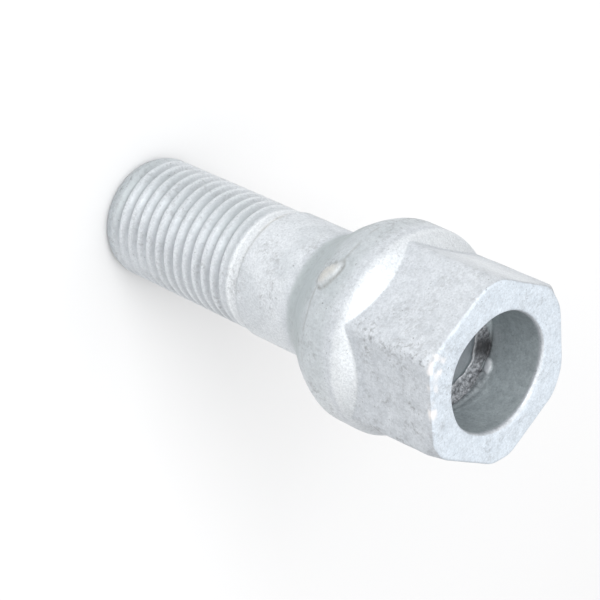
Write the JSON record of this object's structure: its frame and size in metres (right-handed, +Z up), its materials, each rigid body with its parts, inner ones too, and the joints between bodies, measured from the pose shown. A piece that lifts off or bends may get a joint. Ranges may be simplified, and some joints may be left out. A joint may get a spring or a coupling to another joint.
{
  "type": "wheel bolt",
  "caption": "Car wheel bolt stood on its tip: fine metric thread, plain shank, ball seat under a round collar and a hexagon head with a stepped hollow, matte zinc-grey.",
  "frame": {"origin": "centre of the thread's flat tip, on the floor it stands on", "axes": "+Z up along the bolt's axis, from the tip to the head; +X through a corner of the hexagon; -Y out of one of its flats"},
  "size_m": [0.0224, 0.0224, 0.0534],
  "materials": {
    "zinc_coat": "matte light grey zinc coat, mottled"
  },
  "bodies": {
    "root": {"wheel_bolt": "zinc_coat"}
  },
  "joints": []
}
